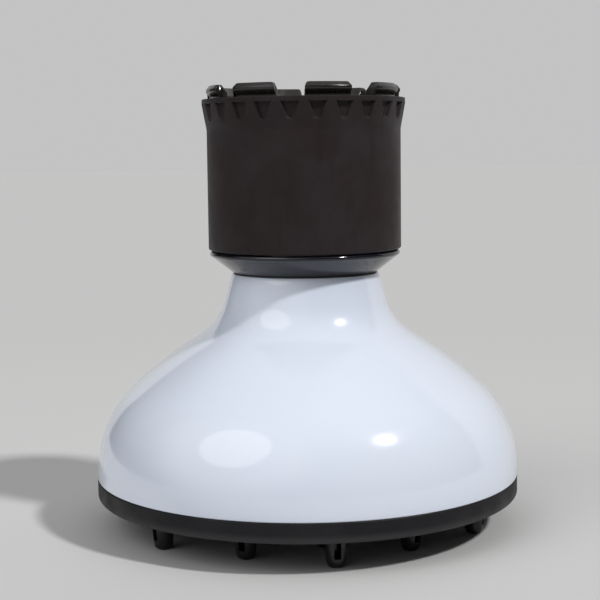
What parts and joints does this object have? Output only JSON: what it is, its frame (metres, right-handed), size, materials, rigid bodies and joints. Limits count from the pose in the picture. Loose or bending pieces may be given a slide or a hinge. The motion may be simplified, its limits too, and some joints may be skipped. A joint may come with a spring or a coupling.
{
  "type": "hair dryer diffuser",
  "caption": "Bell-shaped diffuser that clamps on a hair dryer's barrel: a glossy white bell, a rim bumper, a pronged air plate and a twist sleeve that closes a ring of jaws.",
  "frame": {"origin": "on the turning axis, level with the prong tips that it stands on", "axes": "+Z along the turning axis up into the dryer socket; -Y is the side seen in front"},
  "size_m": [0.16, 0.16, 0.1654],
  "materials": {
    "white_gloss": "bluish white, injection moulded, high gloss",
    "rim_rubber": "charcoal, matte",
    "plate_black": "black, fine matte",
    "prong_black": "black, satin gloss",
    "screw_steel": "black zinc plated steel",
    "black_gloss": "black, polished",
    "seal_rubber": "black, matte",
    "pin_steel": "ground steel",
    "spring_steel": "rolled spring steel",
    "collar_black": "black, moulded",
    "sleeve_rubber": "warm black, matte, slightly mottled",
    "jaw_gloss": "black, polished",
    "pad_rubber": "black, matte"
  },
  "bodies": {
    "base": {"diffuser_bowl": "white_gloss", "rim_bumper": "rim_rubber", "prong_plate": "plate_black", "air_prongs": "prong_black", "air_baffle": "plate_black", "plate_screws": "screw_steel", "adapter_body": "black_gloss", "neck_gasket": "seal_rubber", "seat_gasket": "seal_rubber", "jaw_pivot_pins": "pin_steel", "return_spring": "spring_steel"},
    "collar": {"cam_collar": "collar_black", "grip_sleeve": "sleeve_rubber"},
    "jaw_1": {"jaw_1": "jaw_gloss", "grip_pad_1": "pad_rubber"},
    "jaw_2": {"jaw_2": "jaw_gloss", "grip_pad_2": "pad_rubber"},
    "jaw_3": {"jaw_3": "jaw_gloss", "grip_pad_3": "pad_rubber"},
    "jaw_4": {"jaw_4": "jaw_gloss", "grip_pad_4": "pad_rubber"},
    "jaw_5": {"jaw_5": "jaw_gloss", "grip_pad_5": "pad_rubber"},
    "jaw_6": {"jaw_6": "jaw_gloss", "grip_pad_6": "pad_rubber"},
    "jaw_7": {"jaw_7": "jaw_gloss", "grip_pad_7": "pad_rubber"},
    "jaw_8": {"jaw_8": "jaw_gloss", "grip_pad_8": "pad_rubber"}
  },
  "joints": [
    {"name": "collar_twist", "type": "hinge", "parent": "base", "child": "collar", "pos_m": [0, 0, 0.13], "axis": [0, 0, 1], "range_deg": [0, 22.5]},
    {"name": "jaw_1_pivot", "type": "hinge", "parent": "base", "child": "jaw_1", "pos_m": [0.00776, -0.03001, 0.11], "axis": [-0.9681, -0.2504, 0], "range_deg": [0, 9]},
    {"name": "jaw_2_pivot", "type": "hinge", "parent": "base", "child": "jaw_2", "pos_m": [0.02671, -0.01573, 0.11], "axis": [-0.5075, -0.8616, 0], "range_deg": [0, 9]},
    {"name": "jaw_3_pivot", "type": "hinge", "parent": "base", "child": "jaw_3", "pos_m": [0.03001, 0.00776, 0.11], "axis": [0.2504, -0.9681, 0], "range_deg": [0, 9]},
    {"name": "jaw_4_pivot", "type": "hinge", "parent": "base", "child": "jaw_4", "pos_m": [0.01573, 0.02671, 0.11], "axis": [0.8616, -0.5075, 0], "range_deg": [0, 9]},
    {"name": "jaw_5_pivot", "type": "hinge", "parent": "base", "child": "jaw_5", "pos_m": [-0.00776, 0.03001, 0.11], "axis": [0.9681, 0.2504, 0], "range_deg": [0, 9]},
    {"name": "jaw_6_pivot", "type": "hinge", "parent": "base", "child": "jaw_6", "pos_m": [-0.02671, 0.01573, 0.11], "axis": [0.5075, 0.8616, 0], "range_deg": [0, 9]},
    {"name": "jaw_7_pivot", "type": "hinge", "parent": "base", "child": "jaw_7", "pos_m": [-0.03001, -0.00776, 0.11], "axis": [-0.2504, 0.9681, 0], "range_deg": [0, 9]},
    {"name": "jaw_8_pivot", "type": "hinge", "parent": "base", "child": "jaw_8", "pos_m": [-0.01573, -0.02671, 0.11], "axis": [-0.8616, 0.5075, 0], "range_deg": [0, 9]}
  ],
  "couplings": [
    {"joint": "jaw_1_pivot", "follows": "collar_twist", "ratio": 0.4},
    {"joint": "jaw_2_pivot", "follows": "collar_twist", "ratio": 0.4},
    {"joint": "jaw_3_pivot", "follows": "collar_twist", "ratio": 0.4},
    {"joint": "jaw_4_pivot", "follows": "collar_twist", "ratio": 0.4},
    {"joint": "jaw_5_pivot", "follows": "collar_twist", "ratio": 0.4},
    {"joint": "jaw_6_pivot", "follows": "collar_twist", "ratio": 0.4},
    {"joint": "jaw_7_pivot", "follows": "collar_twist", "ratio": 0.4},
    {"joint": "jaw_8_pivot", "follows": "collar_twist", "ratio": 0.4}
  ]
}
